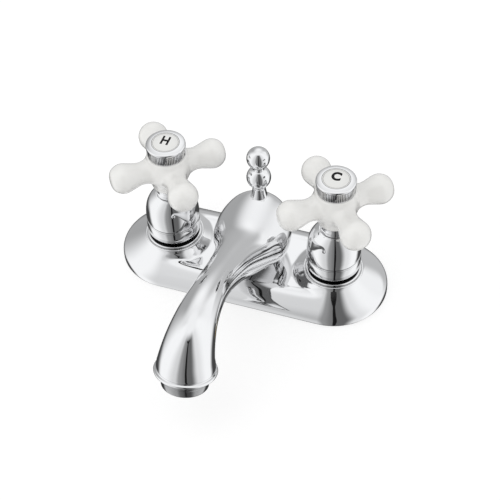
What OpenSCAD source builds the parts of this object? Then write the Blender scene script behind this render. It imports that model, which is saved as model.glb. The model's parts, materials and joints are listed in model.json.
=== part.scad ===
// Two-handle basin faucet on a 4 inch centreset, with porcelain cross handles and a lift rod.
// Millimetres. +Z is up, +X is towards the cold handle, the spout reaches towards -Y.
// The origin lies on the deck, midway between the two handle axes.

/* [Deck cover] */
// Distance between the two handle axes
handle_spacing = 101.6; // [98:0.1:106]
// Radius of the cover's round ends, at the deck
cover_r = 33; // [31:0.1:34]
// Height of the cover's flat middle
cover_h = 12; // [11.6:0.1:13]
// Height at which the domes meet the bead round each bell
dome_h = 15.8; // [15.2:0.1:16.4]
// Height of the upright lip along the bottom edge
lip_h = 2; // [1.5:0.5:3.5]
// Wall of the cover
cover_wall = 2.3; // [2:0.1:2.4]
// Thickness of the gasket under the cover
gasket_t = 1.2; // [0.8:0.1:1.2]

/* [Spout] */
// Distance from the origin to the middle of the outlet ring
outlet_reach = 112.6; // [108:0.2:116]
// Height of the middle of the outlet ring
outlet_z = 38.7; // [36:0.1:41]
// How far the outlet leans forward from straight down, in degrees
outlet_tilt = 18; // [14:1:22]
// Outer radius of the outlet ring
outlet_r = 17.5; // [17:0.1:18]
// Radius of the aerator housing
aerator_r = 13.2; // [12.8:0.1:13.6]
// How far the aerator stands out of the outlet
aerator_drop = 8.4; // [6:0.2:9.4]

/* [Handles] */
// Height of the middle of the handle's arms
arm_z = 71.5; // [70:0.5:72]
// Distance from the handle axis to the end of an arm
arm_reach = 35.2; // [33:0.2:36]
// Largest radius of an arm's rounded end
arm_bulb_r = 8.9; // [8:0.1:9.4]
// Smallest radius of an arm
arm_neck_r = 6.6; // [6:0.1:7.4]
// Angle of the first arm from the +X axis, at rest
arm_angle = 39.5; // [30:0.5:50]
// Radius of the knurled button on top
button_r = 11.56; // [11:0.02:12]
// Number of flutes round the button
button_flutes = 72; // [48:4:80]

/* [Lift knob] */
// Distance of the lift rod behind the handle axes
rod_y = 15; // [14.6:0.1:15.4]
// Radius of the upper ball
ball_top_r = 6.9; // [6:0.1:7.2]
// Radius of the lower ball
ball_low_r = 7.3; // [7:0.1:7.5]
// Radius of the lift rod
rod_r = 2.4; // [2:0.1:2.4]

/* [Valves and fixings] */
// Outer radius of the threaded shank under each handle
shank_r = 10.3; // [10:0.1:10.4]
// Length of the shank below the deck
shank_drop = 52; // [48:1:60]
// Radius of the water way through the shank
inlet_r = 6.5; // [5.5:0.1:7]
// Outer radius of the valve body above the cover
barrel_r = 12.9; // [12.8:0.1:13]
// Thickness of the deck between the cover and the mounting washers
deck_t = 20; // [16:1:24]

/* [Hidden] */
$fn = 64;
handle_x = handle_spacing / 2;
fit = 0.05;
gap = 0.3;

// Cover: one skirt outline serves the straight middle and the two round ends. It is a Bezier
// curve, upright above the lip and a cone below the bead
bead_r = 18.1;
bead_bulge = 0.8;
skirt_slope = 34;
skirt_pull = 0.95;
skirt_low = [cover_r, lip_h];
skirt_high = [bead_r, dome_h];
skirt_corner = [cover_r, dome_h - (cover_r - bead_r) * tan(skirt_slope)];
function skirt_point(t) = let (
    a = skirt_low + skirt_pull * (skirt_corner - skirt_low),
    b = skirt_high + skirt_pull * (skirt_corner - skirt_high))
    pow(1 - t, 3) * skirt_low + 3 * pow(1 - t, 2) * t * a + 3 * (1 - t) * t * t * b
    + pow(t, 3) * skirt_high;
skirt = [for (i = [0 : 16]) skirt_point(i / 16)];
flat_r = lookup(cover_h, [for (p = skirt) [p[1], p[0]]]);
middle_skirt = concat([for (p = skirt) if (p[1] < cover_h - 0.2) p], [[flat_r, cover_h]]);
ceiling_z = cover_h - cover_wall;
pad_r = 16.8;
bell_foot_z = 18.1;

// Valve
flange_r = 16;
flange_top = 5;
barrel_top = 39.3;
cartridge_r = 9;
seat_z = -8;
port_z = 5.8;
tube_r = 3.6;
tube_bore = 2.6;
boss_r = 4.6;
boss_end = 20;
block_r = 10;
block_top = ceiling_z - 0.1;
nipple_r = 6.5;
nipple_top = 24;
seal_z = 19;
seal_r = 0.42;
window_top = 8.6;
washer_t = 1.6;
nut_h = 10.4;
nut_flange_t = 2.4;
// A ring groove marks off the shank's free end below the nut
groove_z = -deck_t - 14;

// Handle stack
bell_top = 50.3;
collar_r = 8.6;
collar_z = bell_top + gap;
porcelain_z = 57.5;
hub_top = 82;
insert_r = 6.5;
insert_top = 86;
stem_r = 4;
stem_top = 66;
button_z = hub_top;
knurl_top = 88.4;
button_top = 90.2;
index_r = 8;
disc_r = 7.1;

// Spout
guide_r = 4.4;
guide_top = 47.2;
guide_z = 36;
knob_z = 47.5;
seat_r = 5.6;
neck_z = 57;
ball_low_z = 62.8;
ball_top_z = 78;
rod_end = -75;
rod_top = 56;
rod_mark_z = -35;
screw_x = 9.5;
screw_y = -8;
screw_r = 2;

// Helpers

// Puts its children on the hot (-1) or the cold (1) handle axis, facing the middle
module at_handle(side) {
    translate([side * handle_x, 0, 0]) mirror([side < 0 ? 0 : 1, 0, 0]) children();
}

// Puts its children on the outlet's own axis, with local +Z pointing back up the spout
module at_outlet() {
    translate([0, -outlet_reach, outlet_z]) rotate([-outlet_tilt, 0, 0]) children();
}

// A point between b and c on the smooth curve through a, b, c and d
function between(a, b, c, d, t) = 0.5 * (2 * b + (c - a) * t
    + (2 * a - 5 * b + 4 * c - d) * t * t + (3 * b - a - 3 * c + d) * t * t * t);

// Adds steps - 1 smooth stations between each two stations of a list
function refine(list, steps) = [for (i = [0 : len(list) - 2], k = [0 : steps - 1])
    between(list[max(i - 1, 0)], list[i], list[i + 1], list[min(i + 2, len(list) - 1)], k / steps),
    list[len(list) - 1]];

// Points of one section: [y, z, slope, half width, height above, height below]
function section(s, sides) = [for (k = [0 : sides - 1])
    let (a = 360 * k / sides, h = sin(a) * (sin(a) > 0 ? s[4] : s[5]))
    [s[3] * cos(a), s[0] + h * sin(s[2]), s[1] + h * cos(s[2])]];

// A closed skin through a list of sections
module loft(stations, sides) {
    rings = len(stations);
    points = [for (s = stations, p = section(s, sides)) p];
    side_faces = [for (i = [0 : rings - 2], k = [0 : sides - 1])
        let (a = i * sides + k, b = i * sides + (k + 1) % sides)
        each [[a, a + sides, b], [b, a + sides, b + sides]]];
    ends = [[for (k = [0 : sides - 1]) k],
        [for (k = [sides - 1 : -1 : 0]) (rings - 1) * sides + k]];
    polyhedron(points, concat(side_faces, ends), convexity = 6);
}

// Deck cover and gasket

// The cover's outer form, or its hollow where an inset is given
module cover_solid(inset, flat_z) {
    profile = [for (p = skirt) [p[0] - inset, max(p[1] - inset, 0)]];
    middle = [for (p = middle_skirt) [p[0] - inset, min(p[1] - inset, flat_z)]];
    rotate([90, 0, 90]) translate([0, 0, -handle_x]) linear_extrude(handle_spacing)
        polygon(concat([[-middle[0][0], -inset]], [for (p = middle) [-p[0], p[1]]],
            [for (i = [len(middle) - 1 : -1 : 0]) middle[i]], [[middle[0][0], -inset]]));
    for (side = [-1, 1]) translate([side * handle_x, 0, 0]) rotate_extrude()
        polygon(concat([[0, -inset], [profile[0][0], -inset]], profile,
            [[0, profile[len(profile) - 1][1]]]));
}

module base_cover() color("gainsboro") difference() {
    union() {
        cover_solid(0, cover_h);
        for (side = [-1, 1]) translate([side * handle_x, 0, 0]) {
            cylinder(r = pad_r, h = bell_foot_z);
            rotate_extrude() translate([bead_r - bead_bulge, dome_h + 0.2]) circle(r = bead_bulge, $fn = 32);
            cylinder(r = bead_r - bead_bulge, h = dome_h + 0.2 + bead_bulge);
        }
    }
    cover_solid(cover_wall, ceiling_z);
    for (side = [-1, 1]) translate([side * handle_x, 0, -1])
        cylinder(r = barrel_r + 0.15, h = bell_foot_z + 2);
    translate([0, 0, -1]) cylinder(r = nipple_r + 0.5, h = cover_h + 2);
    translate([0, rod_y, -1]) cylinder(r = rod_r + 0.9, h = cover_h + 2);
    for (side = [-1, 1]) translate([side * screw_x, screw_y, -1])
        cylinder(r = screw_r + 0.3, h = cover_h + 2);
}

module base_gasket() color("dimgray") difference() {
    gasket_r = cover_r - cover_wall - 0.6;
    union() {
        translate([-handle_x, -gasket_r, 0]) cube([handle_spacing, 2 * gasket_r, gasket_t]);
        for (side = [-1, 1]) translate([side * handle_x, 0, 0]) cylinder(r = gasket_r, h = gasket_t);
    }
    for (side = [-1, 1]) translate([side * handle_x, 0, -1]) cylinder(r = shank_r + 0.5, h = gasket_t + 2);
    translate([0, rod_y, -1]) cylinder(r = rod_r + 1.2, h = gasket_t + 2);
}

// Spout and outlet

// A station on the outlet's axis, up from the ring by a height, leaning back by an angle
function outlet_station(up, r, lean) = [-outlet_reach + up * sin(outlet_tilt),
    outlet_z + up * cos(outlet_tilt), outlet_tilt - 90 - lean, r, r, r];

// Stations from the back of the rounded body, along the neck, to the outlet
body_stations = [
    [25.4, 34, 0, 2.5, 2, 2], [24.6, 34, 0, 8, 6, 6.5], [22, 33.6, 0, 13, 10.8, 13],
    [17.5, 32.6, 0, 17.8, 14.4, 20], [11.5, 31, 0, 21.1, 16.2, 23], [5, 29, 0, 23, 17.8, 23.5],
    [-2, 28, 2, 23.2, 18.3, 22], [-9, 28.4, 5, 21.8, 17.6, 16.5], [-16, 31, 10, 18.2, 15.7, 14.4],
    [-24, 35, 17, 15.1, 14.1, 14]];
neck_stations = [
    [-35, 41.2, 24, 12.3, 12.3, 12.3], [-48, 47.8, 25, 10.7, 10.7, 10.7],
    [-60.5, 53.4, 21, 9.9, 9.9, 9.9], [-72, 57.1, 12, 9.9, 9.9, 9.9],
    [-82.8, 58.5, 1, 10.7, 10.7, 10.7], [-92.3, 57.6, -14, 11.8, 11.8, 11.8],
    [-99.8, 54.7, -32, 13.1, 13.1, 13.1], [-105.8, 50.7, -52, 14.3, 14.3, 14.3],
    outlet_station(7.5, 15.4, -1.5), outlet_station(3.6, 16, 0)];
// The water way follows the middle of the neck
passage_r = 5.5;
passage_stations = concat(
    [[0, 21, 88, passage_r, passage_r, passage_r], [-1, 27, 75, passage_r, passage_r, passage_r],
     [-5, 32, 50, passage_r, passage_r, passage_r], [-12, 35, 26, passage_r, passage_r, passage_r],
     [-22, 37.5, 18, passage_r, passage_r, passage_r]],
    [for (i = [0 : len(neck_stations) - 1]) let (s = neck_stations[i])
        [s[0], s[1], s[2], passage_r, passage_r, passage_r]]);

module outlet_shell() {
    rotate_extrude() polygon([[0, -1.3], [16.2, -1.3], [outlet_r - 0.9, -0.7], [outlet_r - 0.9, 1],
        [16.3, 2.4], [16.1, 4], [0, 4]]);
    rotate_extrude() translate([outlet_r - 1, 0]) circle(r = 1, $fn = 32);
}

module spout() color("gainsboro") difference() {
    union() {
        loft(concat(refine(body_stations, 2), refine(neck_stations, 2)), 32);
        at_outlet() outlet_shell();
        translate([0, rod_y, guide_z - 6]) cylinder(r = seat_r, h = guide_top - guide_z + 6);
    }
    translate([-60, -60, cover_h - 100]) cube([120, 120, 100]);
    translate([0, 0, cover_h - 1]) cylinder(r = nipple_r + 0.1, h = nipple_top + 1 - cover_h + gap);
    loft(passage_stations, 16);
    at_outlet() translate([0, 0, -2]) cylinder(r = aerator_r - 0.9, h = 9.5);
    translate([0, rod_y, 0]) cylinder(r = rod_r + 0.6, h = 60);
    translate([0, rod_y, guide_z]) cylinder(r = guide_r, h = 30);
    for (side = [-1, 1]) translate([side * screw_x, screw_y, 0]) cylinder(r = screw_r, h = 23);
}

module spout_seal() color("black") translate([0, 0, seal_z]) rotate_extrude()
    translate([nipple_r - 0.35, 0]) circle(r = seal_r, $fn = 32);

module spout_screws() color("silver") for (side = [-1, 1]) translate([side * screw_x, screw_y, 0])
    difference() {
        union() {
            translate([0, 0, gasket_t + 0.1]) cylinder(r = 3.4, h = 1.7);
            translate([0, 0, gasket_t + 1.8]) cylinder(r = screw_r - fit, h = 17);
        }
        translate([-2.6, -0.5, 0]) cube([5.2, 1, gasket_t + 1]);
    }

module rod_guide() color("white") translate([0, rod_y, guide_z]) difference() {
    cylinder(r = guide_r - fit, h = guide_top - guide_z);
    translate([0, 0, -1]) cylinder(r = rod_r + fit, h = 20);
}

module aerator_housing() color("gainsboro") at_outlet() difference() {
    union() {
        translate([0, 0, -1.3 - aerator_drop]) rotate_extrude() polygon([[0, 0],
            [aerator_r - 0.7, 0], [aerator_r, 0.7], [aerator_r, aerator_drop - 0.5],
            [aerator_r - 0.5, aerator_drop], [0, aerator_drop]]);
        translate([0, 0, -1.3]) cylinder(r = aerator_r - 0.95, h = 6);
    }
    translate([0, 0, -12]) cylinder(r = 8.4, h = 20);
    translate([0, 0, -6.5]) cylinder(r = 9.6, h = 20);
}

module aerator_screen() color("silver") at_outlet() translate([0, 0, -6.5]) difference() {
    cylinder(r = 9.55, h = 1.4);
    for (ring = [1 : 3], k = [0 : 6 * ring - 1]) rotate([0, 0, 60 * k / ring])
        translate([2.5 * ring, 0, -1]) cylinder(r = 0.8, h = 4);
    translate([0, 0, -1]) cylinder(r = 0.8, h = 4);
}

module aerator_flow_disc() color("lightgray") at_outlet() translate([0, 0, -5.1]) difference() {
    cylinder(r = 9.5, h = 5);
    translate([0, 0, 1.6]) cylinder(r = 8, h = 5);
    for (k = [0 : 5]) rotate([0, 0, 60 * k]) translate([5, 0, -1]) cylinder(r = 1.1, h = 4);
}

module aerator_washer() color("black") at_outlet() translate([0, 0, 4.7]) difference() {
    cylinder(r = aerator_r - 1, h = 2);
    translate([0, 0, -1]) cylinder(r = 7, h = 4);
}

// Water ways under the cover

module mixing_block() color("darkgoldenrod") difference() {
    union() {
        translate([0, 0, gasket_t]) cylinder(r = block_r, h = block_top - gasket_t);
        cylinder(r = nipple_r, h = nipple_top);
        for (side = [-1, 1]) hull() {
            translate([side * screw_x, screw_y, gasket_t + 1.8]) cylinder(r = 4.2, h = 3);
            translate([side * 4, -2, gasket_t + 1.8]) cylinder(r = 4.2, h = 3);
        }
    }
    translate([0, 0, -1]) cylinder(r = block_r + 1, h = gasket_t + 1);
    translate([0, 0, 3]) cylinder(r = 5, h = 30);
    translate([-20, 0, port_z]) rotate([0, 90, 0]) cylinder(r = 2.6, h = 40);
    for (side = [-1, 1]) {
        translate([side * 7, 0, port_z]) rotate([0, side * 90, 0]) cylinder(r = tube_r + 0.02, h = 20);
        translate([side * screw_x, screw_y, -1]) cylinder(r = screw_r + 0.2, h = 12);
        translate([side * screw_x, screw_y, -1]) cylinder(r = 3.6, h = gasket_t + 2.8);
    }
    translate([0, 0, seal_z - 0.5]) rotate_extrude() translate([nipple_r - 0.8, 0]) square([2, 1]);
}

module crossover_tube(side) color("peru") at_handle(side)
    translate([boss_end - 4, 0, port_z]) rotate([0, 90, 0]) difference() {
        cylinder(r = tube_r, h = handle_x - boss_end - 3);
        translate([0, 0, -1]) cylinder(r = tube_bore, h = handle_x);
    }
module hot_crossover_tube() crossover_tube(-1);
module cold_crossover_tube() crossover_tube(1);

// Valves, one set under each handle

module valve_body(side) color("darkgoldenrod") at_handle(side) difference() {
    union() {
        translate([0, 0, -shank_drop]) cylinder(r1 = shank_r - 0.8, r2 = shank_r, h = 0.8);
        translate([0, 0, 0.8 - shank_drop]) cylinder(r = shank_r, h = shank_drop + 1);
        translate([0, 0, gasket_t]) cylinder(r = flange_r, h = flange_top - gasket_t);
        translate([0, 0, gasket_t]) cylinder(r = barrel_r, h = barrel_top - gasket_t);
        translate([0, 0, port_z]) rotate([0, 90, 0]) cylinder(r = boss_r, h = boss_end);
    }
    translate([0, 0, groove_z]) rotate_extrude() translate([shank_r - 0.5, 0]) square([2, 1]);
    translate([0, 0, -shank_drop - 1]) cylinder(r = inlet_r, h = shank_drop + 10);
    translate([0, 0, seat_z]) cylinder(r = cartridge_r, h = 60);
    translate([0, 0, port_z]) rotate([0, 90, 0]) cylinder(r = tube_bore, h = boss_end + 1);
    translate([boss_end - 4, 0, port_z]) rotate([0, 90, 0]) cylinder(r = tube_r + 0.02, h = 10);
}
module hot_valve_body() valve_body(-1);
module cold_valve_body() valve_body(1);

module mounting_nut(side) color("whitesmoke") at_handle(side)
    translate([0, 0, -deck_t - washer_t - nut_h]) difference() {
        union() {
            cylinder(r = 14, h = nut_h - 1);
            translate([0, 0, nut_h - nut_flange_t]) cylinder(r = 18, h = nut_flange_t);
            for (a = [45, 135, 225, 315]) rotate([0, 0, a]) translate([12, -1.75, 1])
                cube([9, 3.5, nut_h - 2.2]);
        }
        translate([0, 0, -1]) cylinder(r = shank_r + fit, h = nut_h + 2);
    }
module hot_mounting_nut() mounting_nut(-1);
module cold_mounting_nut() mounting_nut(1);

module mounting_washer(side) color("dimgray") at_handle(side)
    translate([0, 0, -deck_t - washer_t]) difference() {
        cylinder(r = 19, h = washer_t);
        translate([0, 0, -1]) cylinder(r = shank_r + 0.4, h = washer_t + 2);
    }
module hot_mounting_washer() mounting_washer(-1);
module cold_mounting_washer() mounting_washer(1);

// The bell's foot is undercut, with a rounded band and a small bead above it
bell_outline = [[14.8, bell_foot_z], [14.8, 19], [15.8, 20.8], [16.3, 22.4], [16.4, 24.4], [16.3, 26.8],
    [15.9, 28.8], [16.2, 29.5], [15.9, 30.3], [16.1, 32], [16.1, 34.5], [15.8, 38], [15.1, 41.2],
    [13.9, 44.2], [12.2, 46.8], [10.2, 49], [8.9, bell_top]];
bell_inside = [[6.6, bell_top], [6.6, 48.6], [9.4, 46.2], [11.4, 42.6], [11.8, 39.5],
    [barrel_r + fit, 39.5], [barrel_r + fit, 30], [14.2, 28.6], [14.2, 24], [13.6, 20],
    [13.6, bell_foot_z]];

module bell(side) color("gainsboro") at_handle(side)
    rotate_extrude() polygon(concat(bell_outline, bell_inside));
module hot_bell() bell(-1);
module cold_bell() bell(1);

module cartridge_shell(side) color("goldenrod") at_handle(side) difference() {
    union() {
        translate([0, 0, -6]) cylinder(r = cartridge_r - 0.4, h = 34);
        translate([0, 0, 27]) cylinder(r = cartridge_r - fit, h = barrel_top - 27);
        translate([0, 0, barrel_top]) cylinder(r = 10.2, h = 4.2, $fn = 6);
    }
    translate([0, 0, -7]) cylinder(r = disc_r + 0.1, h = 16.2);
    cylinder(r = stem_r + fit, h = 60);
    translate([-12, -3.5, 2.6]) cube([24, 7, window_top - 2.6]);
}
module hot_cartridge_shell() cartridge_shell(-1);
module cold_cartridge_shell() cartridge_shell(1);

module seat_seal(side) color("black") at_handle(side) translate([0, 0, seat_z]) difference() {
    cylinder(r = disc_r, h = 3.9);
    translate([0, 0, -1]) cylinder(r = 5.4, h = 6);
}
module hot_seat_seal() seat_seal(-1);
module cold_seat_seal() seat_seal(1);

// Two opposite openings through a ceramic disc, as ring sectors
module disc_ports(turn) {
    for (a = [turn, turn + 180]) rotate([0, 0, a - 38]) translate([0, 0, -1])
        rotate_extrude(angle = 76) translate([2.2, 0]) square([3, 6]);
}

module fixed_disc(side) color("white") at_handle(side) translate([0, 0, seat_z + 4]) difference() {
    cylinder(r = disc_r, h = 3);
    disc_ports(90);
}
module hot_fixed_disc() fixed_disc(-1);
module cold_fixed_disc() fixed_disc(1);

module moving_disc(side) color("ivory") at_handle(side) translate([0, 0, seat_z + 7.05]) difference() {
    cylinder(r = disc_r, h = 3);
    disc_ports(0);
    translate([-1.6, -8, 2]) cube([3.2, 16, 2]);
}
module hot_moving_disc() moving_disc(-1);
module cold_moving_disc() moving_disc(1);

module stem(side) color("goldenrod") at_handle(side) difference() {
    union() {
        translate([-1.5, -6.4, seat_z + 9.1]) cube([3, 12.8, 7.6]);
        translate([0, 0, 3.4]) cylinder(r = stem_r, h = stem_top - 3.4);
    }
    translate([0, 0, 19]) rotate_extrude() translate([stem_r - 0.9, 0]) square([2, 2]);
    translate([0, 0, 44.2]) rotate_extrude() translate([stem_r - 0.6, 0]) square([2, 1]);
    translate([0, 0, stem_top - 12]) cylinder(r = 1.7, h = 20);
}
module hot_stem() stem(-1);
module cold_stem() stem(1);

module stem_oring(side) color("black") at_handle(side) translate([0, 0, 20])
    rotate_extrude() translate([stem_r - 0.45, 0]) circle(r = 0.44, $fn = 24);
module hot_stem_oring() stem_oring(-1);
module cold_stem_oring() stem_oring(1);

module stem_clip(side) color("silver") at_handle(side) translate([0, 0, 44.25])
    rotate([0, 0, 30]) rotate_extrude(angle = 300) translate([stem_r - 0.55, 0]) square([2, 0.9]);
module hot_stem_clip() stem_clip(-1);
module cold_stem_clip() stem_clip(1);

// Handles

// Half outline of one arm, along its own axis
arm_outline = [[0, 0], [9.4, 0], [8.9, 7], [7.9, 11], [arm_neck_r + 0.3, 14.5], [arm_neck_r, 17],
    [arm_neck_r + 0.5, 19.7], [arm_bulb_r - 0.9, 22.9], [arm_bulb_r, 26.4], [arm_bulb_r - 0.3, 29.1],
    [arm_bulb_r - 1.8, 32], [arm_bulb_r - 4.2, arm_reach - 1.1], [arm_bulb_r - 6.4, arm_reach - 0.2],
    [0, arm_reach]];

module handle(side) color("ivory") translate([side * handle_x, 0, 0]) difference() {
    union() {
        for (k = [0 : 3]) translate([0, 0, arm_z]) rotate([0, 0, arm_angle + 90 * k]) rotate([0, 90, 0])
            rotate_extrude() polygon(arm_outline);
        rotate_extrude() polygon([[0, porcelain_z], [9.6, porcelain_z], [10.4, porcelain_z + 0.8],
            [11.2, arm_z - 9], [12.6, arm_z - 6], [13.6, arm_z - 2], [13.6, arm_z + 2], [12.8, arm_z + 6],
            [12, arm_z + 9], [11.7, hub_top - 0.1], [0, hub_top - 0.1]]);
    }
    cylinder(r = insert_r + fit, h = 100);
}
module hot_handle() handle(-1);
module cold_handle() handle(1);

module handle_hub(side) color("gainsboro") at_handle(side) difference() {
    union() {
        rotate_extrude() polygon([[0, collar_z], [8.2, collar_z], [collar_r, collar_z + 0.5],
            [collar_r, porcelain_z - 1], [9.2, porcelain_z - fit], [0, porcelain_z - fit]]);
        cylinder(r = insert_r, h = insert_top);
    }
    translate([0, 0, -1]) cylinder(r = insert_r + 5, h = collar_z + 1);
    cylinder(r = stem_r + fit, h = stem_top + gap);
    translate([0, 0, stem_top - 1]) cylinder(r = 2.2, h = 30);
    translate([0, 0, 72]) cylinder(r = 4.2, h = 30);
}
module hot_handle_hub() handle_hub(-1);
module cold_handle_hub() handle_hub(1);

module handle_screw(side) color("silver") at_handle(side) difference() {
    union() {
        translate([0, 0, 72]) cylinder(r = 3.9, h = 2.6);
        translate([0, 0, 58]) cylinder(r = 1.65, h = 14.2);
    }
    for (a = [0, 90]) rotate([0, 0, a]) translate([-2.4, -0.45, 73.4]) cube([4.8, 0.9, 3]);
}
module hot_handle_screw() handle_screw(-1);
module cold_handle_screw() handle_screw(1);

// The knurled edge is a star outline, one point to a flute
module button(side) color("gainsboro") at_handle(side) difference() {
    union() {
        translate([0, 0, button_z]) linear_extrude(knurl_top - button_z)
            polygon([for (k = [0 : 2 * button_flutes - 1]) let (a = 180 * k / button_flutes)
                (button_r - (k % 2) * 0.45) * [cos(a), sin(a)]]);
        translate([0, 0, knurl_top]) rotate_extrude() polygon([[0, -1], [button_r - 0.5, -1],
            [button_r - 0.15, 0], [button_r - 0.2, 0.6], [button_r - 0.8, 1.3], [button_r - 2, 1.8],
            [0, 1.8]]);
    }
    translate([0, 0, button_z - 1]) cylinder(r = insert_r + fit, h = insert_top - button_z + 1.2);
    translate([0, 0, button_top - 1.6]) cylinder(r = index_r + 0.05, h = 5);
}
module hot_button() button(-1);
module cold_button() button(1);

module index_plate(side) color("white") at_handle(side) translate([0, 0, button_top - 1.6])
    cylinder(r = index_r, h = 1.7);
module hot_index() index_plate(-1);
module cold_index() index_plate(1);

// Lift rod

module lift_rod() color("silver") translate([0, rod_y, 0]) difference() {
    union() {
        translate([0, 0, rod_end]) cylinder(r1 = rod_r - 0.6, r2 = rod_r, h = 0.6);
        translate([0, 0, rod_end + 0.6]) cylinder(r = rod_r, h = rod_top - rod_end - 0.6);
    }
    translate([0, 0, rod_mark_z]) rotate_extrude() translate([rod_r - 0.3, 0]) square([2, 1]);
}

module lift_knob() color("gainsboro") translate([0, rod_y, 0]) difference() {
    union() {
        rotate_extrude() polygon([[0, knob_z], [4.5, knob_z], [4.8, knob_z + 0.4], [4.6, knob_z + 1.6],
            [4.1, knob_z + 4], [3.9, neck_z - 2.5], [4.2, neck_z], [3.4, neck_z + 1], [3.4, ball_low_z],
            [0, ball_low_z]]);
        translate([0, 0, ball_low_z]) sphere(r = ball_low_r);
        translate([0, 0, ball_low_z]) cylinder(r = 3.2, h = ball_top_z - ball_low_z);
        translate([0, 0, ball_top_z]) sphere(r = ball_top_r);
    }
    translate([0, 0, knob_z - 1]) cylinder(r = rod_r + 0.01, h = rod_top + 0.1 - knob_z + 1);
}

base_cover();
base_gasket();
spout();
spout_seal();
spout_screws();
rod_guide();
aerator_housing();
aerator_screen();
aerator_flow_disc();
aerator_washer();
mixing_block();
hot_crossover_tube();
cold_crossover_tube();
hot_valve_body();
cold_valve_body();
hot_mounting_nut();
cold_mounting_nut();
hot_mounting_washer();
cold_mounting_washer();
hot_bell();
cold_bell();
hot_cartridge_shell();
cold_cartridge_shell();
hot_seat_seal();
cold_seat_seal();
hot_fixed_disc();
cold_fixed_disc();
hot_moving_disc();
cold_moving_disc();
hot_stem();
cold_stem();
hot_stem_oring();
cold_stem_oring();
hot_stem_clip();
cold_stem_clip();
hot_handle();
cold_handle();
hot_handle_hub();
cold_handle_hub();
hot_handle_screw();
cold_handle_screw();
hot_button();
cold_button();
hot_index();
cold_index();
lift_rod();
lift_knob();
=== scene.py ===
import json
import math

import bmesh
import bpy
from bpy.props import FloatProperty, FloatVectorProperty, IntProperty, PointerProperty
from mathutils import Matrix, Vector


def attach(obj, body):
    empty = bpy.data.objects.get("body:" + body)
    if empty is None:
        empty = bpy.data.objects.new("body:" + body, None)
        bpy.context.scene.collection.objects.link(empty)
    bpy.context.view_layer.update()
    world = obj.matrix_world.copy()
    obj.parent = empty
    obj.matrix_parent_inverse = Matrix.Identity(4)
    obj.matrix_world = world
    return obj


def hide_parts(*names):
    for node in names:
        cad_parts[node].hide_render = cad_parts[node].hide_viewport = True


bl_info = {
    "name": "Centreset basin faucet",
    "version": (1, 0, 0),
    "blender": (4, 5, 0),
    "location": "View3D > Sidebar > Faucet",
    "description": "Builds the finished surfaces of a two-handle basin faucet round its solid model",
    "category": "Object",
}

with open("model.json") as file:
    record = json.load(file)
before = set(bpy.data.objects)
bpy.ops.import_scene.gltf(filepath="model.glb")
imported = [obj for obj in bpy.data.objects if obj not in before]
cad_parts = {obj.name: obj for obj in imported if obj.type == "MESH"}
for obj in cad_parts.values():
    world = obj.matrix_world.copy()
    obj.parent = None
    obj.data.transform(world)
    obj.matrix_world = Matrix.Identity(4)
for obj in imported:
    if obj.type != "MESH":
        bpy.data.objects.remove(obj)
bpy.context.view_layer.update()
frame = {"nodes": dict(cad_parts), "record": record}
MM = 0.001
SIDES = {"hot": -1, "cold": 1}
UP, ORIGIN = Vector((0, 0, 1)), Vector((0, 0, 0))
# Points nearer than this are one point, and a point this near to an edge lies on it
MERGE, ON_EDGE = 0.004 * MM, 0.02 * MM


# Sizes, colours and light that a user would change

def length_property(name, description, millimetres):
    return FloatProperty(name=name, description=description, default=millimetres * MM, unit="LENGTH")


def angle_property(name, description, degrees):
    return FloatProperty(
        name=name, description=description, default=math.radians(degrees), subtype="ANGLE")


def colour_property(name, description, default):
    return FloatVectorProperty(
        name=name, description=description, default=default, subtype="COLOR", size=3)


class FaucetSizes(bpy.types.PropertyGroup):
    """Sizes of the faucet."""
    handle_x: length_property("Handle axis", "Distance from the middle to each handle axis", 50.8)
    cover_radius: length_property("Cover radius", "Radius of the deck cover's round ends", 33)
    cover_height: length_property("Cover height", "Height of the deck cover's flat middle", 12)
    cover_wall: length_property("Cover wall", "Wall of the deck cover", 1.6)
    outlet_reach: length_property("Outlet reach", "Distance from the middle to the outlet ring", 112.6)
    outlet_height: length_property("Outlet height", "Height of the outlet ring's middle", 38.7)
    outlet_tilt: angle_property("Outlet tilt", "How far the outlet leans forward from straight down", 18)
    arm_height: length_property("Arm height", "Height of the middle of the handle's arms", 71.5)
    arm_angle: angle_property("Arm angle", "Angle of the first arm from the row of handles", 39.5)
    button_radius: length_property("Button radius", "Radius of the fluted button", 11.5)
    button_flutes: IntProperty(
        name="Flutes", description="Number of flutes round the button", default=72)
    rod_y: length_property("Lift rod", "Distance of the lift rod behind the handle axes", 15)
    thread_pitch: length_property("Thread pitch", "Pitch of the thread on the shanks", 1.814)
    letter_height: length_property("Letter height", "Height of the letters on the index discs", 6.9)
    voxel: length_property("Porcelain grain", "Size of the voxels that join the porcelain arms", 0.5)


class FaucetFinishes(bpy.types.PropertyGroup):
    """Colours of the faucet's finishes."""
    chrome: colour_property("Chrome", "Colour of the chrome plate", (0.82, 0.82, 0.825))
    porcelain: colour_property("Porcelain", "Colour of the glazed cross handles", (0.85, 0.845, 0.825))
    index: colour_property("Index", "Colour of the index discs", (0.8, 0.8, 0.785))
    brass: colour_property("Brass", "Colour of the unplated brass", (0.71, 0.53, 0.24))
    rubber: colour_property("Rubber", "Colour of the seals and the gasket", (0.035, 0.035, 0.037))


class FaucetStudio(bpy.types.PropertyGroup):
    """The camera and the light."""
    camera_azimuth: angle_property(
        "Camera azimuth", "Turn of the camera round the faucet, from the front", 20.26)
    camera_elevation: angle_property("Camera elevation", "Height of the camera, as an angle", 48.14)
    camera_roll: angle_property("Camera roll", "Roll of the camera", -2.41)
    camera_distance: length_property(
        "Camera distance", "Distance from the camera to its target", 748.4)
    daylight: FloatProperty(
        name="Room light", description="Strength of the light from all round", default=0.91, min=0)
    reflection: FloatProperty(
        name="Tent light", description="Strength of the white tent in the chrome", default=1.12, min=0)
    key: FloatProperty(
        name="Key light", description="Power of the large soft light, in watts", default=0.8, min=0)


# Helpers for shaping

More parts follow.
